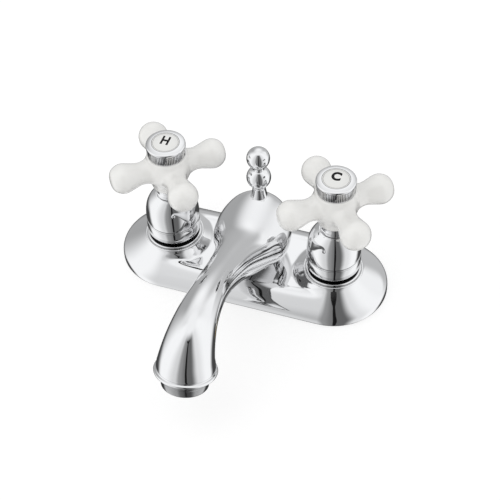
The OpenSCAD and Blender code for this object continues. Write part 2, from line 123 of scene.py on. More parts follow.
def mm(*values):
    """A point given in millimetres."""
    return Vector([v * MM for v in values])


def start():
    """Back to object mode, with nothing selected."""
    if bpy.context.mode != "OBJECT":
        bpy.ops.object.mode_set(mode="OBJECT")
    bpy.ops.object.select_all(action="DESELECT")


def only(obj):
    """Makes obj the one selected and active object."""
    start()
    obj.select_set(True)
    bpy.context.view_layer.objects.active = obj


def edit():
    bpy.ops.object.mode_set(mode="EDIT")
    bpy.ops.mesh.select_mode(type="VERT")


def pick(obj, wanted=None, numbers=slice(None)):
    """Selects vertices in edit mode: those whose place passes the test, all of them or a range."""
    mesh = bmesh.from_edit_mesh(obj.data)
    mesh.verts.ensure_lookup_table()
    for element in (*mesh.faces, *mesh.edges, *mesh.verts):
        element.select_set(False)
    chosen = [v for v in mesh.verts[numbers] if wanted is None or wanted(obj.matrix_world @ v.co)]
    for vertex in chosen:
        vertex.select_set(True)
    mesh.select_flush(True)
    bmesh.update_edit_mesh(obj.data)
    return len(chosen)


def push(x, z):
    """Extrudes the selected edges by a move in millimetres."""
    bpy.ops.mesh.extrude_edges_move(TRANSFORM_OT_translate={"value": mm(x, 0, z)})


def resize(x, y, z, centre=ORIGIN):
    bpy.ops.transform.resize(value=(x, y, z), center_override=centre)


def close_up():
    """Merges what meets and turns every face outwards, in edit mode."""
    bpy.ops.mesh.select_all(action="SELECT")
    bpy.ops.mesh.remove_doubles(threshold=MERGE)
    bpy.ops.mesh.normals_make_consistent(inside=False)


def apply_place(obj):
    """Puts the object at the origin, with its place in its mesh."""
    only(obj)
    bpy.ops.object.transform_apply(location=True, rotation=True, scale=True)


def apply_modifier(obj, kind, name, **settings):
    only(obj)
    modifier = obj.modifiers.new(name, kind)
    for key, value in settings.items():
        setattr(modifier, key, value)
    bpy.ops.object.modifier_apply(modifier=name)


def settle(obj, name, angle=40):
    """Finishes a shape: at the origin, smooth up to the angle, and named."""
    apply_place(obj)
    bpy.ops.object.shade_smooth_by_angle(angle=math.radians(angle))
    obj.name = name
    obj.data.name = name
    return obj


def dress(obj, body, slot, finish_name, *nodes):
    """Finishes a piece and hangs it on its body, over the CAD nodes that it stands for."""
    obj.data.materials.clear()
    obj.data.materials.append(finish(finish_name))
    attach(obj, body)
    if nodes:
        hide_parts(*nodes)


def join(first, *others):
    only(first)
    for other in others:
        other.select_set(True)
    bpy.ops.object.join()
    return first


def cold_copy(hot, name):
    """A copy of a hot piece, with its own mesh, at the cold handle's axis."""
    only(hot)
    bpy.ops.object.duplicate(linked=False)
    cold = bpy.context.object
    bpy.ops.transform.translate(value=(2 * bpy.context.scene.faucet_sizes.handle_x, 0, 0))
    apply_place(cold)
    cold.name = name
    cold.data.name = name
    return cold


def dress_both(hot, body, slot, finish_name, node):
    """Copies a hot piece to the cold side and dresses the two. The names have {} for the side."""
    cold = cold_copy(hot, hot.name.replace("hot", "cold"))
    for side, piece in (("hot", hot), ("cold", cold)):
        dress(piece, body.format(side), slot, finish_name, node.format(side))


def foot_of(side):
    """Where a handle's axis meets the deck."""
    return Vector((SIDES[side] * bpy.context.scene.faucet_sizes.handle_x, 0, 0))


def from_axis(place, foot):
    """How far a place is from the upright axis through foot."""
    out = place - foot
    return math.hypot(out.x, out.y)


def flowing(points, steps=4):
    """A smooth line through the points. A point that stands twice is a corner."""
    runs = [[points[0]]]
    for before, point in zip(points, points[1:]):
        if point == before:
            runs.append([point])
        else:
            runs[-1].append(point)
    line = [tuple(points[0])]
    for run in runs:
        for i in range(len(run) - 1):
            a, b = run[max(i - 1, 0)], run[i]
            c, d = run[i + 1], run[min(i + 2, len(run) - 1)]
            for k in range(1, steps + 1):
                t = k / steps
                line.append(tuple(
                    0.5 * (2 * q + (r - p) * t + (2 * p - 5 * q + 4 * r - s) * t * t
                           + (3 * q - p - 3 * r + s) * t ** 3)
                    for p, q, r, s in zip(a, b, c, d)))
    return line


def arc(middle, radius, first, last, steps):
    """Points of an arc, angles in degrees from the first axis."""
    turns = [math.radians(first + (last - first) * k / steps) for k in range(steps + 1)]
    return [(middle[0] + radius * math.cos(t), middle[1] + radius * math.sin(t)) for t in turns]


def draw_line(points):
    """Draws a line of points in edit mode, by extruding one point along it."""
    start()
    bpy.ops.mesh.primitive_plane_add(size=2 * MM, location=points[0])
    obj = bpy.context.object
    edit()
    bpy.ops.mesh.select_all(action="SELECT")
    bpy.ops.mesh.merge(type="CENTER")
    for before, point in zip(points, points[1:]):
        bpy.ops.mesh.extrude_vertices_move(
            TRANSFORM_OT_translate={"value": Vector(point) - Vector(before)})
    return obj


def turned(name, outline, foot=ORIGIN, axis=UP, sides=96, closed=False):
    """A turned piece: an outline of (radius, height) in millimetres, spun round an axis. The last
    point of a closed outline is joined to its first."""
    axis = Vector(axis).normalized()
    upright = abs(axis.x) <= 0.01 and abs(axis.y) <= 0.01
    out = Vector((1, 0, 0)) if upright else axis.orthogonal().normalized()
    obj = draw_line([foot + out * (r * MM) + axis * (z * MM) for r, z in outline])
    if closed:
        mesh = bmesh.from_edit_mesh(obj.data)
        mesh.verts.ensure_lookup_table()
        mesh.edges.new((mesh.verts[-1], mesh.verts[0]))
        bmesh.update_edit_mesh(obj.data)
    bpy.ops.mesh.select_all(action="SELECT")
    bpy.ops.mesh.spin(steps=sides, angle=2 * math.pi, center=foot, axis=axis)
    close_up()
    return settle(obj, name)


def paint_crease_shade(obj, foot, crease_shades):
    """Paints shade into the colour: dark rings in creases, grooves and gaps round an upright axis, where
    shade falls. Each ring is radius, height, width.
    """
    mesh = obj.data
    layer = mesh.attributes.get("painted_shade") or mesh.attributes.new("painted_shade", "FLOAT", "POINT")
    for vertex in mesh.vertices:
        radius, height = from_axis(vertex.co, foot) / MM, vertex.co.z / MM
        for r, z, width in crease_shades:
            depth = 1 - math.hypot(radius - r, height - z) / width
            if depth > 0:
                # The inner half of its width is fully dark
                value = layer.data[vertex.index].value
                layer.data[vertex.index].value = max(value, min(1, 2 * depth))


# Helpers for shader nodes

def feed(tree, node, inputs):
    """Gives each named input its value, or links it to the output that is given."""
    for socket, value in inputs.items():
        if isinstance(value, bpy.types.NodeSocket):
            tree.links.new(value, node.inputs[socket])
        else:
            node.inputs[socket].default_value = value


def add_node(tree, kind, inputs=None, **settings):
    node = tree.nodes.new(kind)
    for name, value in settings.items():
        setattr(node, name, value)
    feed(tree, node, inputs or {})
    return node


def math_node(tree, kind, *values):
    return add_node(tree, "ShaderNodeMath", dict(enumerate(values)), operation=kind).outputs[0]


def product(tree, first, *others):
    for other in others:
        first = math_node(tree, "MULTIPLY", first, other)
    return first


def add_group(tree, name, inputs):
    """Places a shared group with its own values. Returns its outputs."""
    node = add_node(tree, "ShaderNodeGroup", node_tree=GROUPS[name])
    feed(tree, node, inputs)
    return node.outputs


def mix_colours(tree, factor, first, second):
    inputs = {"Factor": factor, 6: first, 7: second}
    return add_node(tree, "ShaderNodeMix", inputs, data_type="RGBA").outputs[2]


def mix_shaders(tree, factor, first, second):
    return add_node(tree, "ShaderNodeMixShader", {0: factor, 1: first, 2: second}).outputs[0]


def new_material(name):
    """A new material, its node tree and its Principled shader."""
    material = bpy.data.materials.new(name)
    material.use_nodes = True
    return material, material.node_tree, material.node_tree.nodes["Principled BSDF"]


def show(tree, shader):
    feed(tree, tree.nodes["Material Output"], {"Surface": shader})


# Shader groups that several finishes share

def new_group(name, inputs, outputs):
    """A node group, what it is given, and its output node."""
    group = bpy.data.node_groups.new(name, "ShaderNodeTree")
    for label, value in inputs.items():
        kind = "NodeSocketColor" if isinstance(value, tuple) else "NodeSocketFloat"
        group.interface.new_socket(label, in_out="INPUT", socket_type=kind).default_value = value
    for label in outputs:
        kind = "NodeSocketColor" if label == "Colour" else "NodeSocketFloat"
        group.interface.new_socket(label, in_out="OUTPUT", socket_type=kind)
    return group, group.nodes.new("NodeGroupInput").outputs, group.nodes.new("NodeGroupOutput")


def handling_marks():
    """Fine cloud-like change of gloss and height, as on a surface that is wiped clean."""
    group, given, result = new_group(
        "handling_marks", {"Roughness": 0.05, "Spread": 0.02, "Scale": 120.0}, ("Roughness", "Height"))
    place = add_node(group, "ShaderNodeTexCoord").outputs["Object"]
    clouds = add_node(group, "ShaderNodeTexNoise", {
        "Vector": place, "Scale": given["Scale"], "Detail": 4, "Roughness": 0.55}).outputs["Fac"]
    spread = product(group, math_node(group, "SUBTRACT", clouds, 0.5), given["Spread"])
    rough = math_node(group, "ADD", spread, given["Roughness"])
    feed(group, result, {"Roughness": rough, "Height": clouds})
    return group


def colour_drift():
    """Two close tones in soft patches with fine specks of the darker one."""
    group, given, result = new_group(
        "colour_drift",
        {"Colour": (0.8, 0.8, 0.8, 1), "Deeper": (0.7, 0.7, 0.7, 1), "Scale": 40.0, "Specks": 0.1},
        ("Colour",))
    place = add_node(group, "ShaderNodeTexCoord").outputs["Object"]
    patches = add_node(group, "ShaderNodeTexNoise", {
        "Vector": place, "Scale": given["Scale"], "Detail": 3}).outputs["Fac"]
    grain = add_node(group, "ShaderNodeTexNoise", {
        "Vector": place, "Scale": 1400, "Detail": 1}).outputs["Fac"]
    specks = product(group, math_node(group, "GREATER_THAN", grain, 0.7), given["Specks"])
    share = math_node(group, "ADD", patches, specks)
    feed(group, result, {"Colour": mix_colours(group, share, given["Colour"], given["Deeper"])})
    return group


def lathe_lines():
    """Rings left by turning, along the upright axis."""
    group, given, result = new_group(
        "lathe_lines", {"Scale": 900.0, "Roughness": 0.3}, ("Roughness", "Height"))
    place = add_node(group, "ShaderNodeTexCoord").outputs["Object"]
    rings = add_node(group, "ShaderNodeTexWave", {
        "Vector": place, "Scale": given["Scale"], "Distortion": 0.8, "Detail": 2},
        bands_direction="Z").outputs["Fac"]
    rough = math_node(group, "ADD", product(group, rings, 0.12), given["Roughness"])
    feed(group, result, {"Roughness": rough, "Height": rings})
    return group


# Finishes

GROUPS = {}
FINISHES = {}
# The painted shade of creases, grooves and gaps, and the gloss of a glaze's clear top
PAINTED_CREASE_SHADE, GLAZE_ROUGHNESS = (0.012, 0.012, 0.013, 1), 0.04


def finish_material(name, colour, deeper, metallic=0.0, roughness=0.4, spread=0.06, marks_scale=120.0,
                    drift_scale=40.0, specks=0.1, bump=0.1, bump_distance=0.02, lathe=None, coat=0.0,
                    shine=0.5, crease_shades=False):
    """A finish: drifting colour, gloss that changes a little, and a fine relief (in millimetres)."""
    material, tree, shader = new_material(name)
    colour_out = add_group(tree, "drift", {
        "Colour": (*colour, 1), "Deeper": (*deeper, 1), "Scale": drift_scale, "Specks": specks})["Colour"]
    # Painted shade: the attribute darkens the colour in creases, grooves and gaps
    if crease_shades:
        marks = add_node(tree, "ShaderNodeAttribute", attribute_name="painted_shade")
        colour_out = mix_colours(tree, marks.outputs["Fac"], colour_out, PAINTED_CREASE_SHADE)
    if lathe:
        relief = add_group(tree, "lathe", {"Scale": lathe, "Roughness": roughness})
    else:
        relief = add_group(tree, "marks", {
            "Roughness": roughness, "Spread": spread, "Scale": marks_scale})
    dents = add_node(tree, "ShaderNodeBump", {
        "Strength": bump, "Distance": bump_distance * MM, "Height": relief["Height"]})
    feed(tree, shader, {
        "Base Color": colour_out, "Roughness": relief["Roughness"], "Normal": dents.outputs["Normal"],
        "Metallic": metallic, "Specular IOR Level": shine})
    if coat:
        feed(tree, shader, {"Coat Weight": coat, "Coat Roughness": GLAZE_ROUGHNESS})
    return material


def near_image_only(material, reach):
    """Keeps the piece out of the reflections that are seen from further off than the reach."""
    tree = material.node_tree
    paths = add_node(tree, "ShaderNodeLightPath").outputs
    far = product(tree, math_node(tree, "GREATER_THAN", paths["Ray Length"], reach),
                  paths["Is Glossy Ray"])
    clear = add_node(tree, "ShaderNodeBsdfTransparent").outputs[0]
    show(tree, mix_shaders(tree, far, tree.nodes["Principled BSDF"].outputs[0], clear))


def shade(colour, factor):
    return tuple(c * factor for c in colour)


def finish(name):
    """The finish of that name, made once."""
    if name in FINISHES:
        return FINISHES[name]
    if not GROUPS:
        GROUPS.update(marks=handling_marks(), drift=colour_drift(), lathe=lathe_lines())
    colours = bpy.context.scene.faucet_finishes
    chrome, brass, rubber = tuple(colours.chrome), tuple(colours.brass), tuple(colours.rubber)
    recipes = {
        # Polished chrome and index enamel take painted shade in their marked creases and gaps
        "polished_chrome": dict(
            colour=chrome, deeper=shade(chrome, 0.985), metallic=1.0, roughness=0.035, spread=0.03,
            marks_scale=60, specks=0.0, bump=0.04, bump_distance=0.01, crease_shades=True),
        "satin_chrome": dict(
            colour=shade(chrome, 0.5), deeper=shade(chrome, 0.42), metallic=1.0, roughness=0.16,
            spread=0.08, marks_scale=200, drift_scale=120, bump=0.12),
        "glazed_porcelain": dict(
            colour=tuple(colours.porcelain), deeper=shade(colours.porcelain, 0.97), roughness=0.22,
            spread=0.1, marks_scale=90, drift_scale=30, specks=0.08, bump=0.08, coat=0.5),
        "index_enamel": dict(
            colour=tuple(colours.index), deeper=shade(colours.index, 0.98), roughness=0.3,
            spread=0.08, drift_scale=90, specks=0.05, bump=0.03, crease_shades=True),
        "letter_paint": dict(
            colour=(0.006, 0.006, 0.007), deeper=(0.01, 0.01, 0.011), roughness=0.5, spread=0.1,
            specks=0.0, bump=0.05, shine=0.12),
        "turned_brass": dict(
            colour=brass, deeper=shade(brass, 0.82), metallic=1.0, roughness=0.24, lathe=900,
            drift_scale=60, bump=0.25, bump_distance=0.04),
        "drawn_copper": dict(
            colour=(0.72, 0.38, 0.25), deeper=(0.5, 0.24, 0.15), metallic=1.0, roughness=0.3,
            spread=0.2, drift_scale=80, specks=0.2, bump=0.15),
        "moulded_rubber": dict(
            colour=rubber, deeper=shade(rubber, 1.5), roughness=0.62, spread=0.15,
            marks_scale=300, specks=0.4, bump=0.35, bump_distance=0.05),
        "sheet_rubber": dict(
            colour=(0.06, 0.06, 0.062), deeper=(0.1, 0.1, 0.1), roughness=0.75, spread=0.2,
            marks_scale=500, specks=0.6, bump=0.4, bump_distance=0.06),
        "stainless_steel": dict(
            colour=(0.62, 0.62, 0.64), deeper=(0.52, 0.52, 0.54), metallic=1.0, roughness=0.22,
            lathe=1600, bump=0.2),
        "moulded_acetal": dict(
            colour=(0.8, 0.8, 0.77), deeper=(0.74, 0.74, 0.71), roughness=0.42, spread=0.12,
            marks_scale=260, specks=0.15, bump=0.2, bump_distance=0.04),
        "grey_acetal": dict(
            colour=(0.5, 0.51, 0.52), deeper=(0.42, 0.43, 0.44), roughness=0.45, spread=0.12,
            marks_scale=260, specks=0.15, bump=0.2),
        "lapped_ceramic": dict(
            colour=(0.86, 0.83, 0.77), deeper=(0.8, 0.77, 0.7), roughness=0.16, spread=0.05,
            drift_scale=200, specks=0.25, bump=0.05),
    }
    FINISHES[name] = finish_material(name, **recipes[name])
    return FINISHES[name]


# Outlines of the faucet's pieces, as radius and height in millimetres. Where the line flows, a
# point that stands twice is a corner. Rings of painted shade are radius, height and width

# The deck cover: the heights of its lip and its domes, the radius of their bead, the slope of its
# skirt, and how far the ends of the skirt's curve pull it
LIP, DOME, BEAD, SKIRT_SLOPE, SKIRT_PULL = 2.0, 15.8, 18.1, 34.0, 0.95
# The bead's round: its middle, radius, first and last angle, steps
BEAD_ARC = ((17.35, 15.95), 0.75, 125, -5, 12)
COVER_TOP = [(13.2, 18.0), (15.2, 18.0), (16.1, 18.0), (16.5, 17.85), (16.7, 17.5), (16.75, 17.0)]
# Painted shade on the cover, round each bell's foot and at the small step below it
COVER_PAINTED_SHADES = [(15.2, 18.0, 0.9), (16.75, 17.0, 0.2)]
# Where on the skirt the dome starts, and the rings of its upper and lower half
DOME_START, DOME_RINGS, SKIRT_RINGS = 0.985, 12, 18
# The lip: how far inside the cover's foot, and how high
LIP_RINGS = [(0, 1.2), (0, 0.5), (0.15, 0.15), (0.5, 0.0), (1.4, 0.0)]
# The flat middle: its edge's steps inwards, and how near to its border and how high it is softened
EDGE_STEPS = (0.5, 0.6, 0.8, 1.0, 1.4, 2.0, 0)
CREASE_NEAR, BORDER_NEAR, CREASE_ABOVE, SHOULDER_NEAR, SHOULDER_ABOVE = 2.2, 2.4, 6, 5, 5

BELL_OUTLINE = [
    (13.6, 18.15), (14.8, 18.15), (14.8, 18.15), (14.8, 18.9), (15.0, 19.6), (15.8, 20.9),
    (16.2, 21.8), (16.4, 23.4), (16.4, 25.2), (16.2, 27.2), (15.85, 28.6), (15.7, 28.85),
    (15.7, 28.85), (15.95, 29.0), (16.15, 29.4), (16.1, 29.9), (15.85, 30.2), (15.85, 30.2),
    (16.0, 30.5), (16.1, 31.2), (16.15, 33), (16.1, 35), (15.8, 38.2), (15.1, 41.4), (13.9, 44.4),
    (12.2, 47.0), (10.2, 49.1), (9.2, 49.9), (8.9, 50.25), (8.9, 50.25), (6.7, 50.3), (6.7, 50.3),
    (6.7, 48.6)]
# Painted shade on the bell: at its foot over the cover, and in its two grooves
BELL_PAINTED_SHADES = [(14.9, 18.9, 1.3), (15.4, 20.2, 0.8), (15.7, 28.85, 0.2), (15.85, 30.2, 0.2)]
COLLAR_OUTLINE = [
    (6.6, 50.6), (8.1, 50.6), (8.1, 50.6), (8.5, 50.8), (8.6, 51.3), (8.6, 52.2), (8.2, 52.8),
    (8.2, 52.8), (8.2, 54.6), (8.2, 54.6), (8.6, 55.1), (8.7, 56.2), (9.1, 57.0), (9.2, 57.4),
    (9.2, 57.4), (6.6, 57.4)]

# The porcelain: an arm along its own axis, and the hub
ARM_OUTLINE = [
    (0, -1), (9.4, -1), (9.4, -1), (9.3, 3), (8.9, 7), (7.9, 11), (6.9, 14.5), (6.6, 17),
    (7.1, 19.7), (8.0, 23.0), (8.8, 26.0), (8.85, 28.5), (8.0, 31.1), (6.3, 33.4), (3.7, 34.8),
    (0, 35.2)]
HUB_OUTLINE = [
    (0, 57.5), (9.3, 57.5), (9.3, 57.5), (9.9, 57.8), (10.4, 58.6), (11.2, 62.4), (12.6, 65.9),
    (13.5, 69.5), (13.6, 73.5), (12.8, 77.4), (12.0, 80.2), (11.8, 81.4), (11.5, 81.9),
    (11.5, 81.9), (0, 81.9)]
# The valleys between the arms are rounded: reach from the axis and height, each with its fade, and
# the share that is left along the arms
VALLEY_REACH, VALLEY_REACH_FADE, VALLEY_HEIGHT, VALLEY_HEIGHT_FADE, VALLEY_LEAST = 19, 5, 10, 3, 0.35
# The photograph's chrome shows no crosses but in what stands this near to them
IMAGE_REACH = 20

# The button: its band's rings and its cap's rim, as height and how far inside its radius
BUTTON_FOOT = (82.1, 0.35)
BUTTON_RINGS = [(82.35, 0.25), (82.6, 0.1), (88.0, 0), (88.3, -0.05)]
CAP_RIM = [(88.3, 0.05), (88.6, 0), (89.0, 0), (89.4, 0.18), (89.68, 0.55), (89.92, 1.3), (90.12, 2.3)]
CAP_HOLE = [(8.3, 90.2), (8.1, 90.2), (8.1, 90.2), (8.05, 89.8), (8.05, 88.9)]
# Painted shade in the gap between the cap and the index disc
CAP_PAINTED_SHADES = [(8.05, 89.9, 0.4)]
# The flutes: their ends, how far in they go as a share of the radius, and their rings of painted
# shade: heights, how far inside them, and width
FLUTE_LOW, FLUTE_HIGH, FLUTE_SHARE = 82.2, 88.1, 0.958
FLUTE_SHADES, FLUTE_SHADE_INSET, FLUTE_SHADE_WIDTH = (82.35, 82.6, 88.0), 0.23, 0.3
INDEX_OUTLINE = [
    (0, 90.28), (7.1, 90.28), (7.1, 90.28), (7.35, 90.12), (7.6, 90.26), (7.6, 90.26), (7.9, 90.2),
    (7.95, 89.9), (7.95, 89.9), (7.95, 88.7), (7.95, 88.7), (0, 88.7)]
# Painted shade in the index disc's groove and round its edge
INDEX_PAINTED_SHADES = [(7.35, 90.12, 0.14), (7.95, 89.9, 0.3)]
# Each letter's width, its stroke's extra half width, and its place from the handle's axis
LETTERS = {"H": (4.8, 0.34, (-0.5, 1.1)), "C": (5.6, 0.52, (-0.4, 1.5))}
LETTER_BASE, LETTER_THICKNESS = 90.27, 0.02

# The lift knob: its foot, its waist, and its balls: height, radius, first and last angle, steps
KNOB_FOOT = [
    (2.5, 47.6), (4.5, 47.6), (4.5, 47.6), (4.85, 47.9), (4.8, 48.6), (4.45, 50.2), (4.1, 52.4),
    (3.95, 54.6), (4.3, 55.9), (4.55, 56.5)]
KNOB_WAIST = [(3.4, 69.6), (3.15, 70.2), (3.2, 70.9)]
LOW_BALL, TOP_BALL = (62.8, 7.3, -52, 62, 20), (78, 6.9, -62, 90, 26)

AERATOR_OUTLINE = [
    (8.4, -9.65), (12.3, -9.65), (12.8, -9.5), (13.1, -9.0), (13.1, -5.4), (12.8, -5.1),
    (12.8, -4.6), (13.15, -4.3), (13.15, -1.9), (12.1, -1.7), (12.1, 4.5)]
AERATOR_WALL = 1.2

# Sections of the spout: place along y, height, slope in degrees, half width, rise, drop. Those of
# the neck are round, and end with their radius
BODY_SECTIONS = [
    (25.45, 34, 0, 0.4, 0.35, 0.35), (25.25, 34, 0, 3.6, 2.9, 3.1), (24.6, 34, 0, 7.9, 6, 6.6),
    (22, 33.6, 0, 13, 10.8, 13), (17.5, 32.6, 0, 17.8, 14.4, 20), (11.5, 31, 0, 21.1, 16.2, 23),
    (5, 29, 0, 23, 17.8, 23.5), (-2, 28, 2, 23.2, 18.3, 22), (-9, 28.4, 5, 21.8, 17.6, 16.5),
    (-16, 31, 10, 18.2, 15.7, 14.4), (-24, 35, 17, 15.1, 14.1, 14)]
NECK_SECTIONS = [
    (-35, 41.2, 24, 12.3), (-48, 47.8, 25, 10.7), (-60.5, 53.4, 21, 9.9), (-72, 57.1, 12, 9.9),
    (-82.8, 58.5, 1, 10.7), (-92.3, 57.6, -14, 11.8), (-99.8, 54.7, -32, 13.1),
    (-105.8, 50.7, -52, 14.3)]
# Rings on the outlet's own axis: height above the ring's middle, radius
OUTLET_RINGS = [
    (7.5, 15.4), (5.2, 15.9), (3.0, 16.2), (2.4, 16.25), (1.9, 16.1), (1.5, 16.05), (1.1, 16.25),
    (0.95, 16.6), (0.8, 17.0), (0.45, 17.35), (0, 17.5), (-0.45, 17.35), (-0.8, 17.0),
    (-1.05, 16.5), (-1.3, 15.8), (-1.45, 14.6), (-1.5, 13.4), (-1.3, 12.6), (-0.6, 12.4),
    (3.0, 12.4)]
SPOUT_SIDES = 64
ROD_SEAT_OUTLINE = [(0, 44), (5.5, 44), (5.5, 46.4), (5.3, 46.9), (4.9, 47.2), (0, 47.2)]

# Under the deck: the shank's free end, its radii, and the valve body round them
SHANK_END, SHANK_RADIUS, THREAD_ROOT, SHANK_BORE = -52.0, 10.3, 9.6, 6.5
VALVE_OUTLINE = [
    (SHANK_BORE, SHANK_END + 0.5), (SHANK_BORE + 0.5, SHANK_END), (THREAD_ROOT - 0.7, SHANK_END),
    (THREAD_ROOT, SHANK_END + 0.7), (THREAD_ROOT, -1), (SHANK_RADIUS, -0.4), (SHANK_RADIUS, 1.2),
    (15.6, 1.2), (16, 1.6), (16, 4.6), (15.6, 5), (12.9, 5), (12.9, 38.9), (12.5, 39.3),
    (9.4, 39.3), (9, 38.9), (9, -8), (SHANK_BORE, -8)]
# The boss for the crossover tube, along its own axis, and that axis's height
BOSS_OUTLINE = [
    (2.6, 9), (2.6, 15.9), (3.6, 16), (3.6, 19.7), (3.9, 20), (4.3, 20), (4.6, 19.7), (4.6, 11)]
BOSS_HEIGHT = 5.8
# The thread's tooth: radius, and height as a share of the pitch
TOOTH = [(THREAD_ROOT - 0.05, 0), (SHANK_RADIUS - 0.02, 0.42), (SHANK_RADIUS - 0.02, 0.56),
         (THREAD_ROOT - 0.05, 0.98)]
THREAD_START, THREAD_STOP = SHANK_END + 0.4, -1.2
# Its ends run out in steps: the first narrows them by this share, and each next by as much more
RUN_OUT_STEPS, RUN_OUT = 4, 0.022

# The wing nut: its ends, its sleeve's outline, and a wing's size, taper and place
NUT_LOW, NUT_HIGH = -32.0, -21.6
NUT_OUTLINE = [
    (10.4, NUT_LOW + 0.6), (10.9, NUT_LOW), (13.4, NUT_LOW), (13.8, NUT_LOW + 0.2),
    (14, NUT_LOW + 0.6), (14, NUT_HIGH - 3.2), (14.2, NUT_HIGH - 2.7), (14.8, NUT_HIGH - 2.4),
    (17.4, NUT_HIGH - 2.4), (17.8, NUT_HIGH - 2.2), (18, NUT_HIGH - 1.8), (18, NUT_HIGH - 0.6),
    (17.8, NUT_HIGH - 0.2), (17.4, NUT_HIGH), (10.4, NUT_HIGH)]
WING_SIZE, WING_TAPER, WING_BEVEL = (8.6, 3.5, 8.2), (1, 0.8, 0.92), 0.7
WING_PLACE = (16.6, 0, (NUT_LOW + NUT_HIGH) / 2 - 0.1)


# Pieces

def skirt_point(t, foot):
    """The skirt's outline, from its lip (0) to the bead (1): upright first, and then a cone."""
    low, high = (foot, LIP), (BEAD, DOME)
    corner = (foot, DOME - (foot - BEAD) * math.tan(math.radians(SKIRT_SLOPE)))
    first = [a + SKIRT_PULL * (c - a) for a, c in zip(low, corner)]
    second = [a + SKIRT_PULL * (c - a) for a, c in zip(high, corner)]
    return tuple((1 - t) ** 3 * a + 3 * (1 - t) ** 2 * t * b + 3 * (1 - t) * t * t * c + t ** 3 * d
                 for a, b, c, d in zip(low, first, second, high))


class FAUCET_OT_deck_cover(bpy.types.Operator):
    """Shapes the deck cover: two domes spun round the handle axes, joined by the flat middle"""
    bl_idname = "faucet.deck_cover"
    bl_label = "Deck cover"

    def execute(self, context):
        sizes = context.scene.faucet_sizes
        axis = foot_of("cold")
        foot = sizes.cover_radius / MM
        # The crease is where the skirt is as high as the flat middle, found by halving
        crease = 0.5
        for k in range(2, 24):
            crease += 0.5 ** k * (1 if skirt_point(crease, foot)[1] < sizes.cover_height / MM else -1)
        dome = [skirt_point(DOME_START - (DOME_START - crease) * k / DOME_RINGS, foot)
                for k in range(DOME_RINGS + 1)]
        outline = COVER_TOP + arc(*BEAD_ARC) + dome
        cover = draw_line([axis + mm(r, 0, z) for r, z in outline])
        bpy.ops.mesh.select_all(action="SELECT")
        bpy.ops.mesh.spin(steps=128, angle=2 * math.pi, center=axis, axis=UP)
        bpy.ops.mesh.select_all(action="SELECT")
        bpy.ops.mesh.remove_doubles(threshold=MERGE)

        # The outer half of the dome runs on down the skirt to the lip, one ring at a time
        rim = dome[-1][0] * MM
        skirt = [skirt_point(crease * (1 - k / SKIRT_RINGS), foot) for k in range(1, SKIRT_RINGS + 1)]
        radius, height = dome[-1]
        for r, z in skirt + [(foot - inside, z) for inside, z in LIP_RINGS]:
            pick(cover, lambda p: p.x > axis.x - ON_EDGE / 2
                 and abs(from_axis(p, axis) - radius * MM) < ON_EDGE
                 and abs(p.z - height * MM) < ON_EDGE)
            push(0, z - height)
            resize(r / radius, r / radius, 1, axis)
            radius, height = r, z

        # The inner edge, from lip to lip round the dome's foot, runs straight to the middle
        def on_inner_edge(p):
            if p.z < sizes.cover_height - ON_EDGE / 2:
                return abs(p.x - axis.x) < ON_EDGE
            return p.x < axis.x + ON_EDGE and abs(from_axis(p, axis) - rim) < ON_EDGE
        pick(cover, on_inner_edge)
        for step in EDGE_STEPS:
            push(-step, 0)
        resize(0, 1, 1)
        apply_place(cover)
        apply_modifier(cover, "MIRROR", "other_end", use_axis=(True, False, False),
                       use_clip=True, merge_threshold=0.01 * MM, use_mirror_merge=True)
        only(cover)
        edit()
        close_up()

        # A soft fillet where the domes meet the flat, and a soft shoulder along its edges
        def near_crease(p):
            across = math.hypot(abs(p.x) - sizes.handle_x, p.y)
            return abs(p.x) < sizes.handle_x and p.z > CREASE_ABOVE * MM and (
                abs(across - rim) < CREASE_NEAR * MM or abs(abs(p.y) - rim) < BORDER_NEAR * MM)

        def near_shoulder(p):
            return (abs(p.x) < sizes.handle_x - 1 * MM and p.z > SHOULDER_ABOVE * MM
                    and abs(abs(p.y) - rim) < SHOULDER_NEAR * MM)
        for near, repeats in ((near_crease, 10), (near_shoulder, 80)):
            pick(cover, near)
            bpy.ops.mesh.vertices_smooth(factor=0.5, repeat=repeats)
        apply_modifier(cover, "SOLIDIFY", "wall", thickness=sizes.cover_wall, offset=-1)
        settle(cover, "deck_cover", angle=50)
        # Painted shade round the foot of each bell
        for side in SIDES:
            paint_crease_shade(cover, foot_of(side), COVER_PAINTED_SHADES)
        dress(cover, "faucet_body", "chrome", "polished_chrome", "base_cover")
        return {"FINISHED"}


